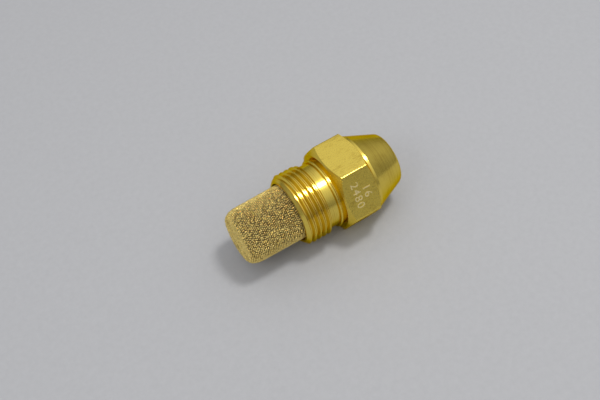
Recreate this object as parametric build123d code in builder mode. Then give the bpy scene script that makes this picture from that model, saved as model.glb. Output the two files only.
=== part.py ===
from build123d import *
import os
from math import cos, radians, sin, tan

# Oil burner nozzle, in millimetres. The nozzle's axis is X and +X is the way it sprays. The origin
# is on the axis, in the plane of the ring face at the rear of the mounting thread. +Z is up when
# the nozzle lies on one flat of its hexagon.

# Mounting thread, 9/16-24 UNEF
THREAD_MAJOR_DIAMETER = 14.288
THREAD_PITCH = 25.4 / 24
THREAD_END = 5.1              # last crest, measured from the rear face
SEAT_FACE_DIAMETER = 12.6     # outer edge of the rear ring face
CREST_NEAR_TOP = 1.33         # a crest passes the upper side at this distance from the rear face

# Relief neck and the collar beside the hexagon
NECK_DIAMETER = 12.9
COLLAR_START = 7.25
COLLAR_WIDTH = 0.55
COLLAR_DIAMETER = 13.9
COLLAR_RIM_RADIUS = 0.22
COLLAR_GROOVE_DIAMETER = 13.2

# Hexagon
HEX_ACROSS_FLATS = 15.88
HEX_EDGE_START = 9.2          # the six straight edges run from here
HEX_EDGE_LENGTH = 5.35
HEX_CHAMFER = 30.0            # degrees from the end faces
HEX_REAR_RIM_DIAMETER = 15.1
LAND_DIAMETER = 15.5          # short turned land between the hexagon and the nose
LAND_WIDTH = 0.5

# Conical nose
NOSE_LENGTH = 6.35
NOSE_HALF_ANGLE = 22.8
NOSE_RIM_RADIUS = 0.9
MOUTH_DIAMETER = 6.2
MOUTH_HALF_ANGLE = 50.0

# Rear bore, which takes the filter holder
FILTER_BORE_DIAMETER = 11.8
FILTER_BORE_DEPTH = 1.6
HOLDER_BORE_DIAMETER = 9.8
HOLDER_BORE_DEPTH = 2.5

# Lock screw and its thread in the body
LOCK_THREAD_DIAMETER = 9.0
LOCK_THREAD_PITCH = 0.75
LOCK_THREAD_START = 7.0       # first internal thread, measured from the rear face
LOCK_THREAD_LENGTH = 6.4
THREAD_UNDERCUT_WIDTH = 0.9
THREAD_WALL = 0.8             # metal the internal thread is cut in, beyond the relief's radius
SCREW_THREAD_LENGTH = 2.8
SCREW_HEAD_LENGTH = 1.5       # plain slotted end
SCREW_LEAD = 0.35             # 45 degree lead at both ends of the screw's thread
SCREW_NOSE_DIAMETER = 6.0
SCREW_NOSE_LENGTH = 2.5
SCREW_BORE_DIAMETER = 3.0
SCREW_WEB = 0.4               # between the screw's bore and its front socket
SCREW_SLOT_WIDTH = 1.2
SCREW_SLOT_DEPTH = 1.3
CROSS_HOLE_DIAMETER = 1.0
CROSS_HOLE_COUNT = 4
SOCKET_DEPTH = 0.8

# Orifice disc
DISC_DIAMETER = 8.0
DISC_LENGTH = 3.7
DISC_BACK_TO_TIP = 1.9        # front shoulder of the disc to the front face of the nose
DISC_BOSS_DIAMETER = 4.0
DISC_BOSS_LENGTH = 1.4
DISC_CAVITY_DIAMETER = 6.4
DISC_SEAT_HALF_ANGLE = 45.0
SWIRL_CHAMBER_DIAMETER = 1.0
SWIRL_CHAMBER_DEPTH = 0.3
SWIRL_CHAMBER_START = 0.15    # ahead of the disc's front shoulder
ORIFICE_DIAMETER = 0.3
ORIFICE_LENGTH = 0.25

# Swirl distributor
DISTRIBUTOR_DIAMETER = 5.2
DISTRIBUTOR_TIP_DIAMETER = 1.4
DISTRIBUTOR_BODY_LENGTH = 2.7
STUB_DIAMETER = 2.2
STUB_LENGTH = 0.65
SWIRL_SLOT_COUNT = 4
SWIRL_SLOT_WIDTH = 0.4
SWIRL_SLOT_DEPTH = 0.3
SWIRL_SLOT_OFFSET = 0.35      # from the axis, which makes the slots tangential

# Filter holder
HOLDER_FLANGE_DIAMETER = 11.2
HOLDER_FLANGE_WIDTH = 0.8
HOLDER_SPIGOT_DIAMETER = 8.4
HOLDER_SPIGOT_LENGTH = 3.2
HOLDER_PASSAGE_DIAMETER = 6.0

# Sintered filter thimble
FILTER_MOUTH_DIAMETER = 11.28
FILTER_SHOULDER_DIAMETER = 11.14
FILTER_SHOULDER = 8.8         # where the straight side ends, measured behind the rear face
FILTER_BEND_DIAMETER = 10.3
FILTER_BEND = 10.35
FILTER_LENGTH_BEHIND = 11.05  # end of the thimble, measured behind the rear face
FILTER_END_DIAMETER = 8.8
FILTER_END_WALL = 1.5

# Clearances
PRESS_GAP = 0.02              # pushed or pressed in, radial
BOSS_GAP = 0.05               # orifice boss in the nose, radial
STUB_GAP = 0.05               # distributor stub in the lock screw, radial
SEAT_GAP = 0.05               # distributor cone off the disc's seat, square to the cone
FLANK_GAP = 0.05              # lock screw thread, square to the flank
RELIEF_GAP = 0.10             # bore beside the lock thread, radial beyond the thread
HEAD_GAP = 0.09               # lock screw's slotted end, radial below its thread's root
CREST_GAP = 0.10              # lock screw thread, radial at the crest
ROOT_GAP = 0.05               # lock screw thread, radial at the root
BLANK_REACH = 0.5             # how far the screw's turned blank stands clear of its thread
CUTTER_REACH = 0.05           # how far a thread groove's cutter stands clear of the crest
SMALL_BREAK = 0.25            # broken edges inside the body

# Thread form, shared by both threads
FLANK_ANGLE = 30.0
CREST_FLAT = 1 / 8            # of the pitch
MINOR_FLAT = 1 / 4            # of the pitch, on an internal thread
FLANK_STEPS = 4               # points that shape a flank's spiral
RUN_OUT = 0.6                 # of the pitch, past each end of a cut thread
RUN_OUT_SLOPE = 2             # of the cone from the last crest down to the neck
EXTERNAL_DEPTH = 0.6134       # of the pitch
INTERNAL_DEPTH = 0.5413       # of the pitch

# Radii and places worked out from the sizes above
thread_radius = THREAD_MAJOR_DIAMETER / 2
thread_root = thread_radius - EXTERNAL_DEPTH * THREAD_PITCH
neck_radius = NECK_DIAMETER / 2
hex_corner = HEX_ACROSS_FLATS / 2 / cos(radians(30))
hex_edge_end = HEX_EDGE_START + HEX_EDGE_LENGTH
chamfer_slope = tan(radians(HEX_CHAMFER))
hex_rear = HEX_EDGE_START - (hex_corner - HEX_REAR_RIM_DIAMETER / 2) * chamfer_slope
land_start = hex_edge_end + (hex_corner - LAND_DIAMETER / 2) * chamfer_slope
nose_start = land_start + LAND_WIDTH
nose_front = nose_start + NOSE_LENGTH
nose_front_radius = LAND_DIAMETER / 2 - NOSE_LENGTH * tan(radians(NOSE_HALF_ANGLE))

lock_major = LOCK_THREAD_DIAMETER / 2
lock_minor = lock_major - INTERNAL_DEPTH * LOCK_THREAD_PITCH
lock_thread_end = LOCK_THREAD_START + LOCK_THREAD_LENGTH
undercut_end = lock_thread_end + THREAD_UNDERCUT_WIDTH
relief_radius = lock_major + RELIEF_GAP
screw_crest = lock_major - CREST_GAP
screw_root = lock_minor - ROOT_GAP

disc_shoulder = nose_front - DISC_BACK_TO_TIP
disc_rear = disc_shoulder - DISC_LENGTH
seat_slope = tan(radians(DISC_SEAT_HALF_ANGLE))
chamber_rear = disc_shoulder + SWIRL_CHAMBER_START
seat_rear = chamber_rear - (DISC_CAVITY_DIAMETER - SWIRL_CHAMBER_DIAMETER) / 2 / seat_slope
cone_shift = SEAT_GAP / sin(radians(DISC_SEAT_HALF_ANGLE))
tip_setback = (DISTRIBUTOR_TIP_DIAMETER - SWIRL_CHAMBER_DIAMETER) / 2 / seat_slope
tip_front = chamber_rear - cone_shift - tip_setback
cone_rear = tip_front - (DISTRIBUTOR_DIAMETER - DISTRIBUTOR_TIP_DIAMETER) / 2 / seat_slope
distributor_rear = cone_rear - DISTRIBUTOR_BODY_LENGTH
screw_thread_front = distributor_rear - SCREW_NOSE_LENGTH
screw_thread_rear = screw_thread_front - SCREW_THREAD_LENGTH
screw_rear = screw_thread_rear - SCREW_HEAD_LENGTH

holder_seat = FILTER_BORE_DEPTH
holder_rear = holder_seat - HOLDER_FLANGE_WIDTH
holder_front = holder_seat + HOLDER_BORE_DEPTH


def revolved(points):
    """A solid turned about the X axis from a closed outline of (x, radius) points."""
    with BuildPart() as turned:
        with BuildSketch(Plane.XZ):
            with BuildLine():
                Polyline(*points, close=True)
            make_face()
        revolve(axis=Axis.X)
    return turned.part


def threaded_rod(pitch, root_radius, crest_radius, root_width, near_top, start, end):
    """A rod along +X with a right-hand V thread, whose groove passes the upper side at near_top.

    A thread's cross-section turned steadily along the axis makes the thread: the angles of its root,
    flanks and crest are their widths along the axis, as shares of a full turn to the pitch.
    """
    turn = 360 / pitch
    depth = crest_radius - root_radius
    root_end = root_width / 2 * turn
    flank_angle = depth * tan(radians(FLANK_ANGLE)) * turn
    crest_start = root_end + flank_angle

    def at(radius, angle):
        return (radius * cos(radians(angle)), radius * sin(radians(angle)))

    def flank(step):
        return at(root_radius + depth * step / FLANK_STEPS, root_end + flank_angle * step / FLANK_STEPS)

    rising = [flank(step) for step in range(FLANK_STEPS + 1)]
    with BuildSketch() as section:
        with BuildLine():
            ThreePointArc(at(root_radius, -root_end), at(root_radius, 0), at(root_radius, root_end))
            Spline(*rising)
            ThreePointArc(
                at(crest_radius, crest_start),
                at(crest_radius, 180),
                at(crest_radius, -crest_start),
            )
            Spline(*[(x, -y) for x, y in rising])
        make_face()
    length = end - start
    upright = Solid.extrude_linear_with_rotation(
        section.sketch.face(), center=(0, 0, 0), normal=(0, 0, length), angle=length * turn
    )
    at_start = Plane(origin=(start, 0, 0), x_dir=(0, 0, 1), z_dir=(1, 0, 0)).location
    return at_start * upright.rotate(Axis.Z, (start - near_top) * turn)


def thread_groove(pitch, root_radius, crest_radius, root_width, near_top, start, end):
    """A right-hand V groove about the X axis, whose middle passes the upper side at near_top.

    It runs out past both ends of the thread, by RUN_OUT of a pitch, and stands clear of the crest.
    """
    mouth_radius = crest_radius + CUTTER_REACH
    depth = mouth_radius - root_radius
    half_root = root_width / 2
    half_mouth = half_root + depth * tan(radians(FLANK_ANGLE))
    first = start - RUN_OUT * pitch
    height = end - start + 2 * RUN_OUT * pitch
    path = Helix(
        pitch=pitch,
        height=height,
        radius=root_radius,
        center=(first, 0, 0),
        direction=(1, 0, 0),
    )
    with BuildPart() as groove:
        with BuildSketch(Plane(origin=path @ 0, x_dir=(0, 0, 1), z_dir=path % 0)):
            with BuildLine():
                Polyline(
                    (0, -half_root),
                    (depth, -half_mouth),
                    (depth, half_mouth),
                    (0, half_root),
                    close=True,
                )
            make_face()
        sweep(path=path, is_frenet=True)
    return groove.part.rotate(Axis.X, 360 * (first - near_top) / pitch)


def hexagon():
    """The hexagon, with both ends turned to a flat cone."""
    with BuildPart() as prism:
        with BuildSketch(Plane.YZ.offset(hex_rear)):
            RegularPolygon(radius=HEX_ACROSS_FLATS / 2, side_count=6, major_radius=False)
        extrude(amount=land_start - hex_rear)
        add(revolved(hex_blank_outline), mode=Mode.INTERSECT)
    return prism.part


# ---- Nozzle body: thread, neck, collar, hexagon and nose in one turned piece ----
shank_outline = [
    (0, 0),
    (0, SEAT_FACE_DIAMETER / 2),
    (thread_radius - SEAT_FACE_DIAMETER / 2, thread_radius),
    (THREAD_END, thread_radius),
    (THREAD_END + (thread_radius - neck_radius) / RUN_OUT_SLOPE, neck_radius),
    (COLLAR_START, neck_radius),
    (COLLAR_START, 0),
]
collar_outline = [
    (COLLAR_START, 0),
    (COLLAR_START, COLLAR_DIAMETER / 2),
    (COLLAR_START + COLLAR_WIDTH, COLLAR_DIAMETER / 2),
    (COLLAR_START + COLLAR_WIDTH, COLLAR_GROOVE_DIAMETER / 2),
    (HEX_EDGE_START, COLLAR_GROOVE_DIAMETER / 2),
    (HEX_EDGE_START, 0),
]
hex_blank_outline = [
    (hex_rear, 0),
    (hex_rear, HEX_REAR_RIM_DIAMETER / 2),
    (HEX_EDGE_START, hex_corner),
    (hex_edge_end, hex_corner),
    (land_start, LAND_DIAMETER / 2),
    (land_start, 0),
]
nose_outline = [
    (hex_edge_end, 0),
    (hex_edge_end, LAND_DIAMETER / 2),
    (nose_start, LAND_DIAMETER / 2),
    (nose_front, nose_front_radius),
    (nose_front, 0),
]
boss_hole_radius = DISC_BOSS_DIAMETER / 2 + BOSS_GAP
mouth_depth = (MOUTH_DIAMETER / 2 - boss_hole_radius) / tan(radians(MOUTH_HALF_ANGLE))
disc_bore_radius = DISC_DIAMETER / 2 + PRESS_GAP
bore_outline = [
    (0, 0),
    (0, FILTER_BORE_DIAMETER / 2),
    (holder_seat, FILTER_BORE_DIAMETER / 2),
    (holder_seat, HOLDER_BORE_DIAMETER / 2),
    (holder_front, HOLDER_BORE_DIAMETER / 2),
    (holder_front, relief_radius),
    (undercut_end, relief_radius),
    (undercut_end, disc_bore_radius),
    (disc_shoulder, disc_bore_radius),
    (disc_shoulder, boss_hole_radius),
    (nose_front - mouth_depth, boss_hole_radius),
    (nose_front, MOUTH_DIAMETER / 2),
    (nose_front, 0),
]
mounting_flanks = 2 * (thread_radius - thread_root) * tan(radians(FLANK_ANGLE))
mounting_groove = thread_groove(
    pitch=THREAD_PITCH,
    root_radius=thread_root,
    crest_radius=thread_radius,
    root_width=THREAD_PITCH * (1 - CREST_FLAT) - mounting_flanks,
    near_top=CREST_NEAR_TOP + THREAD_PITCH / 2,
    start=0,
    end=THREAD_END,
)
lock_thread = threaded_rod(
    pitch=LOCK_THREAD_PITCH,
    root_radius=lock_minor,
    crest_radius=lock_major,
    root_width=LOCK_THREAD_PITCH * MINOR_FLAT,
    near_top=LOCK_THREAD_START,
    start=LOCK_THREAD_START,
    end=lock_thread_end,
)
with BuildPart() as collar:
    add(revolved(collar_outline))
    collar_rims = edges().filter_by(GeomType.CIRCLE).group_by(SortBy.RADIUS)[-1]
    fillet(collar_rims, radius=COLLAR_RIM_RADIUS)
with BuildPart() as nose:
    add(revolved(nose_outline))
    nose_rim = edges().filter_by(GeomType.CIRCLE).group_by(Axis.X)[-1]
    fillet(nose_rim, radius=NOSE_RIM_RADIUS)
ring_outline = [
    (LOCK_THREAD_START, 0),
    (LOCK_THREAD_START, relief_radius + THREAD_WALL),
    (lock_thread_end, relief_radius + THREAD_WALL),
    (lock_thread_end, 0),
]
with BuildPart() as lock_ring:
    add(revolved(ring_outline))
    add(lock_thread, mode=Mode.SUBTRACT)
with BuildPart() as nozzle_body:
    with BuildSketch(Plane.YZ):
        Circle(thread_radius)
    extrude(amount=COLLAR_START)
    add(mounting_groove, mode=Mode.SUBTRACT)
    add(revolved(shank_outline), mode=Mode.INTERSECT)
    add(collar.part)
    add(hexagon())
    add(nose.part)
    add(revolved(bore_outline), mode=Mode.SUBTRACT)
    add(lock_ring.part)
nozzle_body.part.label = "nozzle_body"

# ---- Orifice disc: stainless insert with the conical seat and the outlet hole ----
orifice_start = chamber_rear + SWIRL_CHAMBER_DEPTH
disc_front = disc_shoulder + DISC_BOSS_LENGTH
flare_start = orifice_start + ORIFICE_LENGTH
disc_outline = [
    (disc_rear, DISC_CAVITY_DIAMETER / 2),
    (disc_rear, DISC_DIAMETER / 2),
    (disc_shoulder, DISC_DIAMETER / 2),
    (disc_shoulder, DISC_BOSS_DIAMETER / 2),
    (disc_front, DISC_BOSS_DIAMETER / 2),
    (disc_front, ORIFICE_DIAMETER / 2 + (disc_front - flare_start) * tan(radians(MOUTH_HALF_ANGLE))),
    (flare_start, ORIFICE_DIAMETER / 2),
    (orifice_start, ORIFICE_DIAMETER / 2),
    (orifice_start, SWIRL_CHAMBER_DIAMETER / 2),
    (chamber_rear, SWIRL_CHAMBER_DIAMETER / 2),
    (seat_rear, DISC_CAVITY_DIAMETER / 2),
]
with BuildPart() as orifice_disc:
    add(revolved(disc_outline))
orifice_disc.part.label = "orifice_disc"

# ---- Swirl distributor: slotted cone, carried on a stub in the nose of the lock screw ----
distributor_outline = [
    (distributor_rear - STUB_LENGTH, 0),
    (distributor_rear - STUB_LENGTH, STUB_DIAMETER / 2),
    (distributor_rear, STUB_DIAMETER / 2),
    (distributor_rear, DISTRIBUTOR_DIAMETER / 2),
    (cone_rear, DISTRIBUTOR_DIAMETER / 2),
    (tip_front, DISTRIBUTOR_TIP_DIAMETER / 2),
    (tip_front, 0),
]
cone_normal = (sin(radians(DISC_SEAT_HALF_ANGLE)), cos(radians(DISC_SEAT_HALF_ANGLE)))
slot_ends = [(cone_rear, DISTRIBUTOR_DIAMETER / 2), (tip_front, DISTRIBUTOR_TIP_DIAMETER / 2)]
slot_outline = [
    (x + side * cone_normal[0] * SWIRL_SLOT_DEPTH, r + side * cone_normal[1] * SWIRL_SLOT_DEPTH)
    for side, ends in ((-1, slot_ends), (1, slot_ends[::-1]))
    for x, r in ends
]
with BuildPart() as swirl_distributor:
    add(revolved(distributor_outline))
    for slot in range(SWIRL_SLOT_COUNT):
        slot_plane = Plane.XZ.rotated((slot * 360 / SWIRL_SLOT_COUNT, 0, 0)).offset(SWIRL_SLOT_OFFSET)
        with BuildSketch(slot_plane):
            with BuildLine():
                Polyline(*slot_outline, close=True)
            make_face()
        extrude(amount=SWIRL_SLOT_WIDTH / 2, both=True, mode=Mode.SUBTRACT)
swirl_distributor.part.label = "swirl_distributor"

# ---- Lock screw: presses the distributor into its seat and lets the oil through ----
socket_radius = STUB_DIAMETER / 2 + STUB_GAP
screw_bore_end = distributor_rear - SOCKET_DEPTH - SCREW_WEB
screw_head_radius = screw_root - HEAD_GAP
screw_head_outline = [
    (screw_rear, 0),
    (screw_rear, screw_head_radius - SMALL_BREAK),
    (screw_rear + SMALL_BREAK, screw_head_radius),
    (screw_thread_rear, screw_head_radius),
    (screw_thread_rear, 0),
]
lead_end = screw_crest - SCREW_LEAD
screw_blank_outline = [
    (screw_thread_rear, 0),
    (screw_thread_rear, lead_end),
    (screw_thread_rear + SCREW_LEAD + BLANK_REACH, screw_crest + BLANK_REACH),
    (screw_thread_front - SCREW_LEAD - BLANK_REACH, screw_crest + BLANK_REACH),
    (screw_thread_front, lead_end),
    (screw_thread_front, 0),
]
screw_nose_outline = [
    (screw_thread_front, 0),
    (screw_thread_front, SCREW_NOSE_DIAMETER / 2),
    (distributor_rear, SCREW_NOSE_DIAMETER / 2),
    (distributor_rear, 0),
]
screw_bore_outline = [
    (screw_rear, 0),
    (screw_rear, SCREW_BORE_DIAMETER / 2),
    (screw_bore_end, SCREW_BORE_DIAMETER / 2),
    (screw_bore_end, 0),
]
socket_outline = [
    (distributor_rear, 0),
    (distributor_rear, socket_radius),
    (distributor_rear - SOCKET_DEPTH, socket_radius),
    (distributor_rear - SOCKET_DEPTH, 0),
]
lock_groove_width = LOCK_THREAD_PITCH * MINOR_FLAT + 2 * FLANK_GAP / cos(radians(FLANK_ANGLE))
screw_flanks = 2 * (lock_minor - screw_root) * tan(radians(FLANK_ANGLE))
screw_thread = threaded_rod(
    pitch=LOCK_THREAD_PITCH,
    root_radius=screw_root,
    crest_radius=screw_crest,
    root_width=lock_groove_width - screw_flanks,
    near_top=LOCK_THREAD_START,
    start=screw_thread_rear,
    end=screw_thread_front,
)
cross_hole_place = screw_thread_front + (screw_bore_end - screw_thread_front) / 2
with BuildPart() as lock_screw:
    add(screw_thread)
    add(revolved(screw_blank_outline), mode=Mode.INTERSECT)
    add(revolved(screw_head_outline))
    add(revolved(screw_nose_outline))
    add(revolved(screw_bore_outline), mode=Mode.SUBTRACT)
    add(revolved(socket_outline), mode=Mode.SUBTRACT)
    with BuildSketch(Plane.YZ.offset(screw_rear)):
        Rectangle(2 * screw_head_radius, SCREW_SLOT_WIDTH)
    extrude(amount=SCREW_SLOT_DEPTH, mode=Mode.SUBTRACT)
    for hole in range(CROSS_HOLE_COUNT // 2):
        hole_plane = Plane.XY.rotated((hole * 360 / CROSS_HOLE_COUNT, 0, 0))
        with BuildSketch(hole_plane):
            with Locations((cross_hole_place, 0)):
                Circle(CROSS_HOLE_DIAMETER / 2)
        extrude(amount=SCREW_NOSE_DIAMETER, both=True, mode=Mode.SUBTRACT)
lock_screw.part.label = "lock_screw"

# ---- Filter holder: shank pushed into the body, spigot that carries the thimble ----
holder_shank_radius = HOLDER_BORE_DIAMETER / 2 - PRESS_GAP
holder_outline = [
    (holder_rear - HOLDER_SPIGOT_LENGTH, HOLDER_PASSAGE_DIAMETER / 2),
    (holder_rear - HOLDER_SPIGOT_LENGTH, HOLDER_SPIGOT_DIAMETER / 2 - SMALL_BREAK),
    (holder_rear - HOLDER_SPIGOT_LENGTH + SMALL_BREAK, HOLDER_SPIGOT_DIAMETER / 2),
    (holder_rear, HOLDER_SPIGOT_DIAMETER / 2),
    (holder_rear, HOLDER_FLANGE_DIAMETER / 2),
    (holder_seat, HOLDER_FLANGE_DIAMETER / 2),
    (holder_seat, holder_shank_radius),
    (holder_front - SMALL_BREAK, holder_shank_radius),
    (holder_front, holder_shank_radius - SMALL_BREAK),
    (holder_front, HOLDER_PASSAGE_DIAMETER / 2),
]
with BuildPart() as filter_holder:
    add(revolved(holder_outline))
filter_holder.part.label = "filter_holder"

# ---- Sintered filter: closed thimble pushed over the holder's spigot ----
filter_bore_radius = HOLDER_SPIGOT_DIAMETER / 2 + PRESS_GAP
filter_end = -FILTER_LENGTH_BEHIND
with BuildPart() as sintered_filter:
    with BuildSketch(Plane.XZ):
        with BuildLine():
            Line((holder_rear, filter_bore_radius), (holder_rear, FILTER_MOUTH_DIAMETER / 2))
            Line(
                (holder_rear, FILTER_MOUTH_DIAMETER / 2),
                (-FILTER_SHOULDER, FILTER_SHOULDER_DIAMETER / 2),
            )
            ThreePointArc(
                (-FILTER_SHOULDER, FILTER_SHOULDER_DIAMETER / 2),
                (-FILTER_BEND, FILTER_BEND_DIAMETER / 2),
                (filter_end, FILTER_END_DIAMETER / 2),
            )
            Polyline(
                (filter_end, FILTER_END_DIAMETER / 2),
                (filter_end, 0),
                (filter_end + FILTER_END_WALL, 0),
                (filter_end + FILTER_END_WALL, filter_bore_radius),
                (holder_rear, filter_bore_radius),
            )
        make_face()
    revolve(axis=Axis.X)
sintered_filter.part.label = "sintered_filter"

os.makedirs("parts", exist_ok=True)
for piece in (nozzle_body, orifice_disc, swirl_distributor, lock_screw, filter_holder, sintered_filter):
    export_step(piece.part, f"parts/{piece.part.label}.step")
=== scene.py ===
"""Looks of an oil burner nozzle: brass body, sintered thimble filter and the pieces inside."""

import random
from math import cos, hypot, pi, radians, sin

import bmesh
import bpy
from mathutils import Matrix, Vector


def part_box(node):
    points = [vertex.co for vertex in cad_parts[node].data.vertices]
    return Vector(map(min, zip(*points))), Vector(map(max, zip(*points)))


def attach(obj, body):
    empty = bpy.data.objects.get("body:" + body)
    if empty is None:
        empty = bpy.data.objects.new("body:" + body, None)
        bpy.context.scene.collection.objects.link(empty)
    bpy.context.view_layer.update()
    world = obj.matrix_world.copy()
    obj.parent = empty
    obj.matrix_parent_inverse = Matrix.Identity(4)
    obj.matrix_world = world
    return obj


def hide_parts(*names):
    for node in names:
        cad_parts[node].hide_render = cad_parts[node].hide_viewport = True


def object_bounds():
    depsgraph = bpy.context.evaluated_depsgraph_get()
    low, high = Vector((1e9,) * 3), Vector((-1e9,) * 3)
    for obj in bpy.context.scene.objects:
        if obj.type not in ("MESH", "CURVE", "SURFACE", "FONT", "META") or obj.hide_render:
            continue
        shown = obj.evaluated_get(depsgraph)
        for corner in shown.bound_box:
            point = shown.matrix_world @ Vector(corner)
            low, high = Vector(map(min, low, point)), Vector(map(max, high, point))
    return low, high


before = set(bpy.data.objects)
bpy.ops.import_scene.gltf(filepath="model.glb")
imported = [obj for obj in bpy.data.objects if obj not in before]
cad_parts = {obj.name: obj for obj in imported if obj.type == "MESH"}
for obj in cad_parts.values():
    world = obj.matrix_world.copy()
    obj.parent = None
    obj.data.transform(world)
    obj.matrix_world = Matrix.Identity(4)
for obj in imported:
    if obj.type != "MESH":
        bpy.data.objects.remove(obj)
cad_low, cad_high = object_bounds()

bl_info = {
    "name": "Oil Burner Nozzle",
    "version": (1, 0, 0),
    "blender": (4, 5, 0),
    "location": "View3D > Sidebar > Nozzle",
    "description": "Dresses the packed burner nozzle: brass, stamped figures, sintered grains",
    "category": "Object",
}

MM = 0.001
WHOLE_NOZZLE = (cad_low + cad_high) / 2
REST_HEIGHT = cad_low.z


class NozzleSizes(bpy.types.PropertyGroup):
    """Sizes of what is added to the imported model"""

    hexagon_flats: bpy.props.FloatProperty(
        name="Across Flats",
        description="Width of the hexagon over two opposite flats",
        default=15.88 * MM,
        subtype="DISTANCE",
        unit="LENGTH",
    )
    edge_break: bpy.props.FloatProperty(
        name="Edge Break",
        description="Width of the broken edge between two flats of the hexagon",
        default=0.16 * MM,
        subtype="DISTANCE",
        unit="LENGTH",
    )
    figure_height: bpy.props.FloatProperty(
        name="Figure Height",
        description="Height of the stamped figures",
        default=2.25 * MM,
        subtype="DISTANCE",
        unit="LENGTH",
    )
    figure_relief: bpy.props.FloatProperty(
        name="Figure Relief",
        description="How far the figures' burr stands above the flat",
        default=0.022 * MM,
        subtype="DISTANCE",
        unit="LENGTH",
    )
    grain_size: bpy.props.FloatProperty(
        name="Grain Size",
        description="Diameter of a sintered grain",
        default=0.36 * MM,
        subtype="DISTANCE",
        unit="LENGTH",
    )
    grain_spacing: bpy.props.FloatProperty(
        name="Grain Spacing",
        description="Mean distance between neighbouring grains",
        default=0.395 * MM,
        subtype="DISTANCE",
        unit="LENGTH",
    )


class NozzleColours(bpy.types.PropertyGroup):
    """Colours of the nozzle's metals and of the floor"""

    brass: bpy.props.FloatVectorProperty(
        name="Turned Brass",
        description="Colour of the turned brass",
        subtype="COLOR",
        size=3,
        default=(0.84, 0.645, 0.12),
        min=0,
        max=1,
    )
    brass_shade: bpy.props.FloatVectorProperty(
        name="Brass Shade",
        description="Darker tone of the brass in its turning marks and tarnish",
        subtype="COLOR",
        size=3,
        default=(0.64, 0.46, 0.075),
        min=0,
        max=1,
    )
    grain: bpy.props.FloatVectorProperty(
        name="Sintered Grain",
        description="Colour of the sintered bronze grains",
        subtype="COLOR",
        size=3,
        default=(0.98, 0.79, 0.30),
        min=0,
        max=1,
    )
    grain_shade: bpy.props.FloatVectorProperty(
        name="Grain Shade",
        description="Darker tone of the sintered bronze grains",
        subtype="COLOR",
        size=3,
        default=(0.88, 0.67, 0.22),
        min=0,
        max=1,
    )
    # painted shade: this near-black colour stands for the shade deep between the grains, not for a
    # darker metal
    pore_shade: bpy.props.FloatVectorProperty(
        name="Pore",
        description="Colour of the metal deep between the grains",
        subtype="COLOR",
        size=3,
        default=(0.055, 0.038, 0.016),
        min=0,
        max=1,
    )
    steel: bpy.props.FloatVectorProperty(
        name="Stainless Steel",
        description="Colour of the orifice disc and the distributor",
        subtype="COLOR",
        size=3,
        default=(0.56, 0.55, 0.53),
        min=0,
        max=1,
    )
    floor: bpy.props.FloatVectorProperty(
        name="Floor",
        description="Colour of the floor",
        subtype="COLOR",
        size=3,
        default=(0.46, 0.465, 0.48),
        min=0,
        max=1,
    )


def sizes():
    return bpy.context.scene.nozzle_sizes


def colours():
    return bpy.context.scene.nozzle_colours


def deselect_all():
    if bpy.context.object and bpy.context.object.mode != "OBJECT":
        bpy.ops.object.mode_set(mode="OBJECT")
    bpy.ops.object.select_all(action="DESELECT")


def make_active(piece):
    deselect_all()
    piece.select_set(True)
    bpy.context.view_layer.objects.active = piece


def edit(piece, mode):
    make_active(piece)
    bpy.ops.object.mode_set(mode="EDIT")
    bpy.ops.mesh.select_mode(type=mode)
    bpy.ops.mesh.select_all(action="DESELECT")
    return bmesh.from_edit_mesh(piece.data)


def done(piece):
    bmesh.update_edit_mesh(piece.data)
    bpy.ops.object.mode_set(mode="OBJECT")


def place_in_mesh(piece):
    make_active(piece)
    bpy.ops.object.transform_apply(location=True, rotation=True, scale=True)


# ---- Materials ----
BRASS_TURNING = 0.11 * MM
STEEL_TURNING = 0.04 * MM
NOISE_LOW, NOISE_HIGH = 0.25, 0.75


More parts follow.
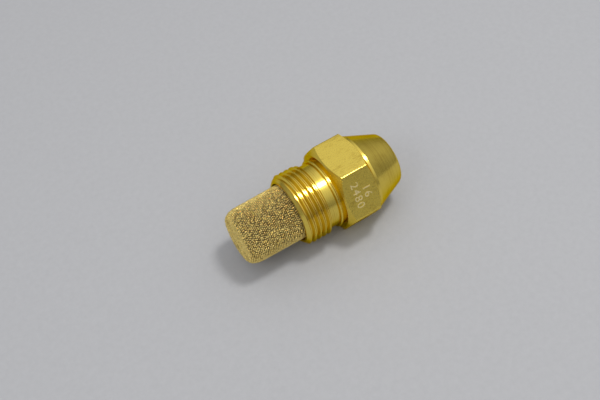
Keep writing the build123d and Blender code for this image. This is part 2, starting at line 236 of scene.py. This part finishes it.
class Nodes:
    """One new material, and short ways to add and link its shader nodes."""

    def __init__(self, name):
        self.material = bpy.data.materials.new(name)
        self.material.use_nodes = True
        self.tree = self.material.node_tree
        self.tree.nodes.clear()
        self.output = self.add("ShaderNodeOutputMaterial")
        self.shader = self.add("ShaderNodeBsdfPrincipled")
        self.link(self.shader, "BSDF", self.output, "Surface")
        self.coords = self.add("ShaderNodeTexCoord")

    def add(self, kind, **values):
        node = self.tree.nodes.new(kind)
        for key, value in values.items():
            if hasattr(node, key):
                setattr(node, key, value)
            else:
                node.inputs[key].default_value = value
        return node

    def link(self, source, out, target, into):
        self.tree.links.new(source.outputs[out], target.inputs[into])

    def mapped(self, scale, rotation=(0, 0, 0)):
        mapping = self.add("ShaderNodeMapping")
        mapping.inputs["Scale"].default_value = scale
        mapping.inputs["Rotation"].default_value = rotation
        self.link(self.coords, "Object", mapping, "Vector")
        return mapping

    def noise(self, vector, detail=3.0, roughness=0.55, scale=1.0):
        node = self.add("ShaderNodeTexNoise")
        node.inputs["Scale"].default_value = scale
        node.inputs["Detail"].default_value = detail
        node.inputs["Roughness"].default_value = roughness
        self.link(vector, "Vector", node, "Vector")
        return node

    def ramp(self, source, out, stops):
        node = self.add("ShaderNodeValToRGB")
        self.link(source, out, node, "Fac")
        ramp = node.color_ramp
        while len(ramp.elements) < len(stops):
            ramp.elements.new(0.5)
        for element, (place, colour) in zip(ramp.elements, stops):
            element.position = place
            element.color = (*colour, 1) if len(colour) == 3 else colour
        return node

    def span(self, source, out, low, high, into):
        """Spreads a noise value over low to high and links it to a socket of the shader."""
        node = self.add("ShaderNodeMapRange")
        node.inputs["From Min"].default_value = NOISE_LOW
        node.inputs["From Max"].default_value = NOISE_HIGH
        node.inputs["To Min"].default_value = low
        node.inputs["To Max"].default_value = high
        self.link(source, out, node, "Value")
        self.link(node, "Result", self.shader, into)
        return node

    def bump(self, source, out, distance, strength, under=None):
        node = self.add("ShaderNodeBump")
        node.inputs["Distance"].default_value = distance
        node.inputs["Strength"].default_value = strength
        self.link(source, out, node, "Height")
        if under is not None:
            self.link(under, "Normal", node, "Normal")
        return node

    def math(self, operation, *values):
        node = self.add("ShaderNodeMath", operation=operation)
        for index, value in enumerate(values):
            if isinstance(value, tuple):
                self.tree.links.new(value[0].outputs[value[1]], node.inputs[index])
            else:
                node.inputs[index].default_value = value
        return node

    def turned_coords(self, pitch):
        """Coordinates that only change along the axis and outwards, as a lathe's marks do."""
        parts = self.add("ShaderNodeSeparateXYZ")
        self.link(self.coords, "Object", parts, "Vector")
        y_square = self.math("MULTIPLY", (parts, "Y"), (parts, "Y"))
        z_square = self.math("MULTIPLY", (parts, "Z"), (parts, "Z"))
        radius = self.math("SQRT", (self.math("ADD", (y_square, 0), (z_square, 0)), 0))
        along = self.math("MULTIPLY", (parts, "X"), 1 / pitch)
        outward = self.math("MULTIPLY", (radius, 0), 1 / pitch)
        joined = self.add("ShaderNodeCombineXYZ")
        self.tree.links.new(along.outputs[0], joined.inputs["X"])
        self.tree.links.new(outward.outputs[0], joined.inputs["Y"])
        around = self.mapped((25, 25, 25))
        slow = self.noise(around, detail=1)
        self.link(slow, "Fac", joined, "Z")
        return joined


def metal(nodes, roughness):
    nodes.shader.inputs["Metallic"].default_value = 1.0
    nodes.shader.inputs["Roughness"].default_value = roughness


def lathe_brass():
    n = Nodes("lathe_brass")
    metal(n, 0.2)
    lines = n.noise(n.turned_coords(BRASS_TURNING), detail=1, roughness=0.5)
    tarnish = n.noise(n.mapped((300, 300, 300)), detail=4)
    line_part = n.math("MULTIPLY", (lines, "Fac"), 0.5)
    tone = n.math("MULTIPLY_ADD", (tarnish, "Fac"), 0.5, (line_part, 0))
    shade, clear = tuple(colours().brass_shade), tuple(colours().brass)
    colour = n.ramp(tone, "Value", [(0.36, shade), (0.52, clear), (0.75, clear)])
    n.link(colour, "Color", n.shader, "Base Color")
    n.shader.inputs["Specular Tint"].default_value = (*clear, 1)
    n.span(tone, "Value", 0.12, 0.26, "Roughness")
    fine = n.bump(lines, "Fac", 0.0022 * MM, 0.5)
    n.link(fine, "Normal", n.shader, "Normal")
    return n.material


def drawn_brass():
    n = Nodes("drawn_brass")
    metal(n, 0.3)
    streaks = n.noise(n.mapped((1100, 4200, 4200)), detail=3, roughness=0.6)
    grain = n.noise(n.mapped((3400, 3400, 3400)), detail=2, roughness=0.6)
    patches = n.noise(n.mapped((330, 330, 330)), detail=3)
    streak_part = n.math("MULTIPLY", (streaks, "Fac"), 0.6)
    mix = n.math("MULTIPLY_ADD", (patches, "Fac"), 0.4, (streak_part, 0))
    shade, clear = tuple(colours().brass_shade), tuple(colours().brass)
    colour = n.ramp(mix, "Value", [(0.32, shade), (0.50, clear), (0.8, clear)])
    n.link(colour, "Color", n.shader, "Base Color")
    n.shader.inputs["Specular Tint"].default_value = (*clear, 1)
    n.span(grain, "Fac", 0.22, 0.38, "Roughness")
    first = n.bump(grain, "Fac", 0.010 * MM, 0.5)
    second = n.bump(streaks, "Fac", 0.006 * MM, 0.4, under=first)
    n.link(second, "Normal", n.shader, "Normal")
    return n.material


def stamped_brass():
    n = Nodes("stamped_brass")
    metal(n, 0.5)
    marks = n.noise(n.mapped((3000, 3000, 3000)), detail=3)
    clear = tuple(colours().brass)
    bright = tuple(min(1, 0.30 + 0.75 * c) for c in clear)
    colour = n.ramp(marks, "Fac", [(0.25, clear), (0.5, bright)])
    n.link(colour, "Color", n.shader, "Base Color")
    n.span(marks, "Fac", 0.48, 0.62, "Roughness")
    n.link(n.bump(marks, "Fac", 0.006 * MM, 0.5), "Normal", n.shader, "Normal")
    return n.material


def bronze_grains():
    n = Nodes("bronze_grains")
    metal(n, 0.3)
    cells = n.add("ShaderNodeTexVoronoi")
    cells.inputs["Scale"].default_value = 1 / sizes().grain_spacing
    n.link(n.coords, "Object", cells, "Vector")
    cell_tone = n.add("ShaderNodeSeparateColor")
    n.link(cells, "Color", cell_tone, "Color")
    patches = n.noise(n.mapped((260, 260, 260)), detail=3)
    cell_part = n.math("MULTIPLY", (cell_tone, "Red"), 0.4)
    tone = n.math("MULTIPLY_ADD", (patches, "Fac"), 0.6, (cell_part, 0))
    shade, clear = tuple(colours().grain_shade), tuple(colours().grain)
    colour = n.ramp(tone, "Value", [(0.22, shade), (0.50, clear), (0.9, clear)])
    n.link(colour, "Color", n.shader, "Base Color")
    n.shader.inputs["Specular Tint"].default_value = (*clear, 1)
    n.span(tone, "Value", 0.20, 0.32, "Roughness")
    pits = n.noise(n.mapped((9000, 9000, 9000)), detail=1)
    n.link(n.bump(pits, "Fac", 0.004 * MM, 0.4), "Normal", n.shader, "Normal")
    return n.material


def painted_pore_shade():
    # Painted shade: the filter core under the grains is coloured near-black and matt to stand for
    # the shade deep between them.
    n = Nodes("painted_pore_shade")
    n.shader.inputs["Metallic"].default_value = 0.0
    n.shader.inputs["Specular IOR Level"].default_value = 0.1
    cells = n.noise(n.mapped((3200, 3200, 3200)), detail=4)
    pore_shade = tuple(colours().pore_shade)
    light = tuple(1.8 * c for c in pore_shade)
    colour = n.ramp(cells, "Fac", [(0.35, pore_shade), (0.7, light)])
    n.link(colour, "Color", n.shader, "Base Color")
    n.span(cells, "Fac", 0.7, 0.95, "Roughness")
    n.link(n.bump(cells, "Fac", 0.03 * MM, 0.7), "Normal", n.shader, "Normal")
    return n.material


def turned_steel():
    n = Nodes("turned_steel")
    metal(n, 0.26)
    lines = n.noise(n.turned_coords(STEEL_TURNING), detail=2, roughness=0.6)
    steel = tuple(colours().steel)
    dark = tuple(0.72 * c for c in steel)
    colour = n.ramp(lines, "Fac", [(0.3, dark), (0.6, steel)])
    n.link(colour, "Color", n.shader, "Base Color")
    n.span(lines, "Fac", 0.2, 0.36, "Roughness")
    n.link(n.bump(lines, "Fac", 0.003 * MM, 0.5), "Normal", n.shader, "Normal")
    return n.material


def floor_card():
    n = Nodes("floor_card")
    n.shader.inputs["Roughness"].default_value = 0.85
    fibre = n.noise(n.mapped((900, 900, 900)), detail=6, roughness=0.7)
    floor = tuple(colours().floor)
    colour = n.ramp(fibre, "Fac", [(0.3, tuple(0.94 * c for c in floor)), (0.7, floor)])
    n.link(colour, "Color", n.shader, "Base Color")
    n.link(n.bump(fibre, "Fac", 0.05 * MM, 0.3), "Normal", n.shader, "Normal")
    return n.material


def material(name):
    made = bpy.data.materials.get(name)
    return made or MATERIALS[name]()


MATERIALS = {
    "lathe_brass": lathe_brass,
    "drawn_brass": drawn_brass,
    "stamped_brass": stamped_brass,
    "bronze_grains": bronze_grains,
    "painted_pore_shade": painted_pore_shade,
    "turned_steel": turned_steel,
    "floor_card": floor_card,
}


def set_material(piece, *names):
    piece.data.materials.clear()
    for name in names:
        piece.data.materials.append(material(name))


def merged_copy(node, name):
    """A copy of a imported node's mesh, its loose triangles merged for shaping and smoothing."""
    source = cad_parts[node]
    piece = bpy.data.objects.new(name, source.data.copy())
    bpy.context.scene.collection.objects.link(piece)
    edit(piece, "VERT")
    bpy.ops.mesh.select_all(action="SELECT")
    bpy.ops.mesh.remove_doubles(threshold=0.0008 * MM)
    bpy.ops.object.mode_set(mode="OBJECT")
    if piece.data.has_custom_normals:
        bpy.ops.mesh.customdata_custom_splitnormals_clear()
    return piece


def smooth(piece, angle=30):
    make_active(piece)
    bpy.ops.object.shade_smooth_by_angle(angle=radians(angle))


# ---- Brass body ----
FIGURES = (("16", 13.0 * MM), ("2480", 10.9 * MM))
FRONT_FLAT = Vector((0, -cos(radians(30)), sin(radians(30))))
DOWN_FRONT_FLAT = Vector((0, -sin(radians(30)), -cos(radians(30))))
FLAT_NORMALS = [Vector((0, sin(radians(a)), cos(radians(a)))) for a in range(0, 360, 60)]
BODY_SMOOTH_ANGLE = 20
BODY_FINISHES = ("lathe_brass", "drawn_brass")


def on_flat(normal, centre, flats):
    """Whether a face lies in one of the hexagon's six flats."""
    return any(
        normal.dot(flat) > 0.999 and abs(centre.dot(flat) - flats / 2) < 0.02 * MM
        for flat in FLAT_NORMALS
    )


def select_corner_edges(mesh, corner):
    """Selects the hexagon's six long edges."""
    for edge in mesh.edges:
        ends = [hypot(v.co.y, v.co.z) for v in edge.verts]
        run = abs(edge.verts[0].co.x - edge.verts[1].co.x)
        edge.select = min(ends) > corner - 0.01 * MM and run > 0.5 * MM
    if not any(edge.select for edge in mesh.edges):
        raise RuntimeError("The hexagon's edges were not found")


def figures(text, centre, height, relief, name):
    """Plain figures on the front flat, reading down the flat."""
    deselect_all()
    bpy.ops.object.text_add(location=(0, 0, 0))
    words = bpy.context.object
    words.data.body = text
    words.data.size = height
    words.data.align_x = "CENTER"
    words.data.align_y = "CENTER"
    words.data.space_character = 1.2
    words.data.offset = 0.004 * height
    words.data.resolution_u = 5
    words.data.extrude = relief
    bpy.ops.object.convert(target="MESH")
    piece = bpy.context.object
    piece.name = name
    along = Vector((1, 0, 0))
    outward = DOWN_FRONT_FLAT.cross(along)
    turn = Matrix((DOWN_FRONT_FLAT, along, outward)).transposed().to_4x4()
    piece.matrix_world = Matrix.Translation(centre) @ turn
    place_in_mesh(piece)
    edit(piece, "VERT")
    bpy.ops.mesh.select_all(action="SELECT")
    bpy.ops.mesh.remove_doubles(threshold=0.002 * MM)
    bpy.ops.mesh.normals_make_consistent(inside=False)
    bpy.ops.object.mode_set(mode="OBJECT")
    return piece


class NOZZLE_OT_brass_body(bpy.types.Operator):
    """Dress the brass body: broken hexagon edges, plain stamped figures, turned and drawn brass"""

    bl_idname = "nozzle.brass_body"
    bl_label = "Brass Body"

    def execute(self, context):
        size = sizes()
        flats = size.hexagon_flats
        piece = merged_copy("nozzle_body", "brass_body")
        mesh = edit(piece, "FACE")
        for face in mesh.faces:
            face.select = on_flat(face.normal, face.calc_center_median(), flats)
        bmesh.update_edit_mesh(piece.data)
        bpy.ops.mesh.dissolve_limited(angle_limit=radians(0.5))
        mesh = edit(piece, "EDGE")
        select_corner_edges(mesh, flats / 2 / cos(radians(30)))
        bmesh.update_edit_mesh(piece.data)
        bpy.ops.mesh.bevel(offset=size.edge_break, segments=3, profile=0.5, clamp_overlap=True)
        done(piece)
        set_material(piece, *BODY_FINISHES)
        for face in piece.data.polygons:
            face.material_index = int(on_flat(face.normal, face.center, flats))
        for count, (text, along) in enumerate(FIGURES):
            place = FRONT_FLAT * (flats / 2) + Vector((along, 0, 0))
            name = f"figures_{count}"
            mark = figures(text, place, size.figure_height, size.figure_relief, name)
            set_material(mark, "stamped_brass")
            smooth(mark)
            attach(mark, "nozzle")
        smooth(piece, BODY_SMOOTH_ANGLE)
        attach(piece, "nozzle")
        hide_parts("nozzle_body")
        return {"FINISHED"}


# ---- Sintered filter ----
def lathe(name, outline, steps=96):
    """A closed shell spun about X from an outline of (x, radius) points."""
    deselect_all()
    bpy.ops.mesh.primitive_circle_add(vertices=3, radius=MM, fill_type="NOTHING")
    piece = bpy.context.object
    piece.name = name
    mesh = edit(piece, "VERT")
    bmesh.ops.delete(mesh, geom=mesh.verts[:], context="VERTS")
    points = [mesh.verts.new((x, 0, r)) for x, r in outline]
    for first, second in zip(points, points[1:]):
        mesh.edges.new((first, second))
    for vert in mesh.verts:
        vert.select = True
    for line in mesh.edges:
        line.select = True
    bmesh.update_edit_mesh(piece.data)
    bpy.ops.mesh.spin(steps=steps, angle=2 * pi, center=(0, 0, 0), axis=(1, 0, 0), dupli=False)
    bpy.ops.mesh.select_all(action="SELECT")
    bpy.ops.mesh.remove_doubles(threshold=0.002 * MM)
    bpy.ops.mesh.normals_make_consistent(inside=False)
    bpy.ops.object.mode_set(mode="OBJECT")
    return piece


THIMBLE_SHOULDER = (-8.8 * MM, 5.57 * MM)
THIMBLE_BEND = (-10.35 * MM, 5.15 * MM)
THIMBLE_END_RADIUS = 4.4 * MM
THIMBLE_BORE = 4.22 * MM
THIMBLE_END_WALL = 1.5 * MM
MOUTH_INSET = 0.05 * MM
BEND_STEPS = 8
CORE_DEPTH = 0.95        # of a grain, below the skin
ROW_STEP = 0.87          # of the grains' spacing
MOUTH_ROWS = (0.9, 1.8, 2.7)    # of a grain, inwards from the rim


def outer_line(low, high, radius):
    """Points along the outside of the thimble, from its mouth round to the middle of its end."""
    bend = (THIMBLE_SHOULDER, THIMBLE_BEND, (low, THIMBLE_END_RADIUS))
    line = [(high, radius), THIMBLE_SHOULDER]
    for step in range(1, BEND_STEPS + 1):
        t = step / BEND_STEPS
        weights = (2 * (t - 0.5) * (t - 1), -4 * t * (t - 1), 2 * t * (t - 0.5))
        x = sum(weight * point[0] for weight, point in zip(weights, bend))
        r = sum(weight * point[1] for weight, point in zip(weights, bend))
        line.append((x, r))
    line.append((low, 0))
    return line


def core_outline(line, low, high, radius, inset):
    """The thimble's section, its outside set back below the grains."""
    mouth = high - MOUTH_INSET
    bottom = low + THIMBLE_END_WALL
    outside = [(max(x, low + inset), max(r - inset, 0)) for x, r in line[1:-1]]
    return [
        (mouth, THIMBLE_BORE),
        (mouth, radius - inset),
        *outside,
        (low + inset, 0),
        (bottom, 0),
        (bottom, THIMBLE_BORE),
        (mouth, THIMBLE_BORE),
    ]


def along_line(line, spacing):
    """Evenly spaced (x, radius) places along an outline, each with its inward (x, radius)."""
    places = []
    carried = 0.0
    for (x0, r0), (x1, r1) in zip(line, line[1:]):
        run = hypot(x1 - x0, r1 - r0)
        if run == 0:
            continue
        slope_x, slope_r = (x1 - x0) / run, (r1 - r0) / run
        at = spacing - carried if places else 0.0
        while at <= run:
            places.append((x0 + at * slope_x, r0 + at * slope_r, -slope_r, slope_x))
            at += spacing
        carried = run - (at - spacing)
    return places


def grain_places(line, low, high, radius, grain, spacing, chance):
    """The (middle, diameter) of every grain, in rings round the thimble and over its rim."""
    rows = along_line(line, spacing * ROW_STEP)
    rim = high - grain / 2
    rows += [(rim, radius - grain * share, 0, 0) for share in MOUTH_ROWS]
    for x, r, inward_x, inward_r in rows:
        ring_x = x + inward_x * grain / 2
        ring_radius = r + inward_r * grain / 2
        count = 1
        if ring_radius >= spacing * 0.4:
            count = max(1, round(2 * pi * ring_radius / spacing))
        shift = chance.random() * 2 * pi
        for k in range(count):
            angle = shift + 2 * pi * (k + chance.uniform(-0.17, 0.17)) / count
            size = grain * chance.uniform(0.82, 1.06)
            reach = ring_radius
            if ring_radius > spacing:
                reach -= (grain - size) * 0.1 + chance.random() * grain * 0.10
            along = ring_x + chance.uniform(-0.13, 0.13) * spacing
            along = min(max(along, low + size / 2), high - size / 2)
            yield Vector((along, reach * cos(angle), reach * sin(angle))), size


def grain_pattern():
    """Corners and faces of one grain of unit diameter."""
    deselect_all()
    bpy.ops.mesh.primitive_ico_sphere_add(subdivisions=1, radius=0.5)
    pattern = bpy.context.object
    corners = [v.co.copy() for v in pattern.data.vertices]
    faces = [tuple(p.vertices) for p in pattern.data.polygons]
    bpy.data.objects.remove(pattern)
    return corners, faces


class NOZZLE_OT_sintered_filter(bpy.types.Operator):
    """Build the sintered thimble: a porous core painted near-black as the shade between the
    grains, and its skin of round grains
    """

    bl_idname = "nozzle.sintered_filter"
    bl_label = "Sintered Filter"

    def execute(self, context):
        box_low, box_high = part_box("sintered_filter")
        low, high, radius = box_low.x, box_high.x, box_high.z
        grain, spacing = sizes().grain_size, sizes().grain_spacing
        line = outer_line(low, high, radius)
        core = lathe("filter_core", core_outline(line, low, high, radius, grain * CORE_DEPTH))
        # The core's near-black material is painted shade between the grains.
        set_material(core, "painted_pore_shade")
        smooth(core, 35)

        ball, sides = grain_pattern()
        chance = random.Random(11)
        points, faces = [], []
        for middle, size in grain_places(line, low, high, radius, grain, spacing, chance):
            tilt = chance.random() * pi
            axis = Vector((chance.random(), chance.random(), 1))
            turn = Matrix.Rotation(tilt, 3, axis)
            first = len(points)
            points += [middle + size * (turn @ corner) for corner in ball]
            faces += [tuple(first + index for index in side) for side in sides]
        data = bpy.data.meshes.new("filter_grains")
        data.from_pydata(points, [], faces)
        grains = bpy.data.objects.new("filter_grains", data)
        context.scene.collection.objects.link(grains)
        set_material(grains, "bronze_grains")
        make_active(grains)
        bpy.ops.object.shade_smooth()
        for piece in (core, grains):
            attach(piece, "filter")
            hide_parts("sintered_filter")
        return {"FINISHED"}


# ---- Pieces inside ----
INNER_FINISHES = {
    "orifice_disc": "turned_steel",
    "swirl_distributor": "turned_steel",
    "lock_screw": "lathe_brass",
    "filter_holder": "lathe_brass",
}


class NOZZLE_OT_inner_pieces(bpy.types.Operator):
    """Give the orifice disc, distributor, lock screw and filter holder their metals"""

    bl_idname = "nozzle.inner_pieces"
    bl_label = "Inner Pieces"

    def execute(self, context):
        for node, finish in INNER_FINISHES.items():
            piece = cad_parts[node]
            if not piece.material_slots:
                piece.data.materials.append(material(finish))
            for slot in piece.material_slots:
                slot.material = material(finish)
        return {"FINISHED"}


# ---- Stage ----
FLOOR_SIZE = 3.0
SKY = ((0.0, 0.24), (0.25, 0.30), (0.65, 0.62), (1.0, 0.86))    # height, level
CAMERA_AIM = Vector((3.381, 1.340, -0.313)) * MM
CAMERA_DISTANCE = 179.99 * MM
CAMERA_AZIMUTH = -26.737
CAMERA_ELEVATION = 52.522
CAMERA_ROLL = -7.169
CAMERA_LENS = 57.72


def area_lamp(name, place, size, power, colour):
    """A square lamp that looks at the nozzle from a place beside it."""
    data = bpy.data.lights.new(name, "AREA")
    data.shape = "SQUARE"
    data.size = size
    data.energy = power
    data.color = colour
    lamp = bpy.data.objects.new(name, data)
    bpy.context.scene.collection.objects.link(lamp)
    lamp.location = WHOLE_NOZZLE + place
    lamp.rotation_mode = "QUATERNION"
    lamp.rotation_quaternion = (-place).to_track_quat("-Z", "Y")


def studio_sky():
    """A soft grey sky that brightens upwards."""
    world = bpy.data.worlds.new("sky")
    world.use_nodes = True
    tree = world.node_tree
    tree.nodes.clear()
    output = tree.nodes.new("ShaderNodeOutputWorld")
    sky = tree.nodes.new("ShaderNodeBackground")
    coords = tree.nodes.new("ShaderNodeTexCoord")
    parts = tree.nodes.new("ShaderNodeSeparateXYZ")
    ramp = tree.nodes.new("ShaderNodeValToRGB")
    tree.links.new(coords.outputs["Generated"], parts.inputs["Vector"])
    tree.links.new(parts.outputs["Z"], ramp.inputs["Fac"])
    while len(ramp.color_ramp.elements) < len(SKY):
        ramp.color_ramp.elements.new(0.5)
    for element, (height, level) in zip(ramp.color_ramp.elements, SKY):
        element.position = height
        element.color = (level, level, level * 1.02, 1)
    tree.links.new(ramp.outputs["Color"], sky.inputs["Color"])
    tree.links.new(sky.outputs[0], output.inputs["Surface"])
    return world


def studio_camera():
    azimuth, elevation = radians(CAMERA_AZIMUTH), radians(CAMERA_ELEVATION)
    level = cos(elevation)
    back = Vector((sin(azimuth) * level, -cos(azimuth) * level, sin(elevation)))
    right = Vector((cos(azimuth), sin(azimuth), 0))
    turn = Matrix((right, back.cross(right), back)).transposed()
    roll = Matrix.Rotation(radians(CAMERA_ROLL), 3, "Z")
    data = bpy.data.cameras.new("camera")
    data.lens = CAMERA_LENS
    data.sensor_width = 36
    data.clip_start, data.clip_end = 0.005, 20
    camera = bpy.data.objects.new("camera", data)
    bpy.context.scene.collection.objects.link(camera)
    place = Matrix.Translation(CAMERA_AIM + CAMERA_DISTANCE * back)
    camera.matrix_world = place @ (turn @ roll).to_4x4()
    return camera


class NOZZLE_OT_stage(bpy.types.Operator):
    """Set the floor, the soft lamps, the sky and the camera"""

    bl_idname = "nozzle.stage"
    bl_label = "Stage"

    def execute(self, context):
        deselect_all()
        bpy.ops.mesh.primitive_plane_add(size=FLOOR_SIZE, location=(0, 0, REST_HEIGHT))
        floor = bpy.context.object
        floor.name = "floor"
        place_in_mesh(floor)
        set_material(floor, "floor_card")
        context.scene.world = studio_sky()
        area_lamp("key_lamp", Vector((0.120, -0.048, 0.420)), 0.08, 0.72, (1.0, 0.985, 0.96))
        area_lamp("side_lamp", Vector((-0.30, -0.10, 0.34)), 0.16, 0.22, (0.97, 0.98, 1.0))
        context.scene.camera = studio_camera()
        context.scene.view_settings.view_transform = "Standard"
        return {"FINISHED"}


class NOZZLE_PT_panel(bpy.types.Panel):
    """Lists the nozzle's pieces, sizes and colours"""

    bl_idname = "NOZZLE_PT_panel"
    bl_label = "Oil Burner Nozzle"
    bl_space_type = "VIEW_3D"
    bl_region_type = "UI"
    bl_category = "Nozzle"

    def draw(self, context):
        for group in (context.scene.nozzle_sizes, context.scene.nozzle_colours):
            box = self.layout.box()
            for key in group.__annotations__:
                box.prop(group, key)
        for operator in OPERATORS:
            self.layout.operator(operator.bl_idname)


OPERATORS = (
    NOZZLE_OT_stage,
    NOZZLE_OT_brass_body,
    NOZZLE_OT_sintered_filter,
    NOZZLE_OT_inner_pieces,
)
CLASSES = (NozzleSizes, NozzleColours, *OPERATORS, NOZZLE_PT_panel)


def register():
    for each in CLASSES:
        bpy.utils.register_class(each)
    bpy.types.Scene.nozzle_sizes = bpy.props.PointerProperty(type=NozzleSizes)
    bpy.types.Scene.nozzle_colours = bpy.props.PointerProperty(type=NozzleColours)


def unregister():
    del bpy.types.Scene.nozzle_colours
    del bpy.types.Scene.nozzle_sizes
    for each in reversed(CLASSES):
        bpy.utils.unregister_class(each)


def main():
    register()
    bpy.ops.nozzle.stage()
    bpy.ops.nozzle.brass_body()
    bpy.ops.nozzle.sintered_filter()
    bpy.ops.nozzle.inner_pieces()


if __name__ == "__main__":
    main()
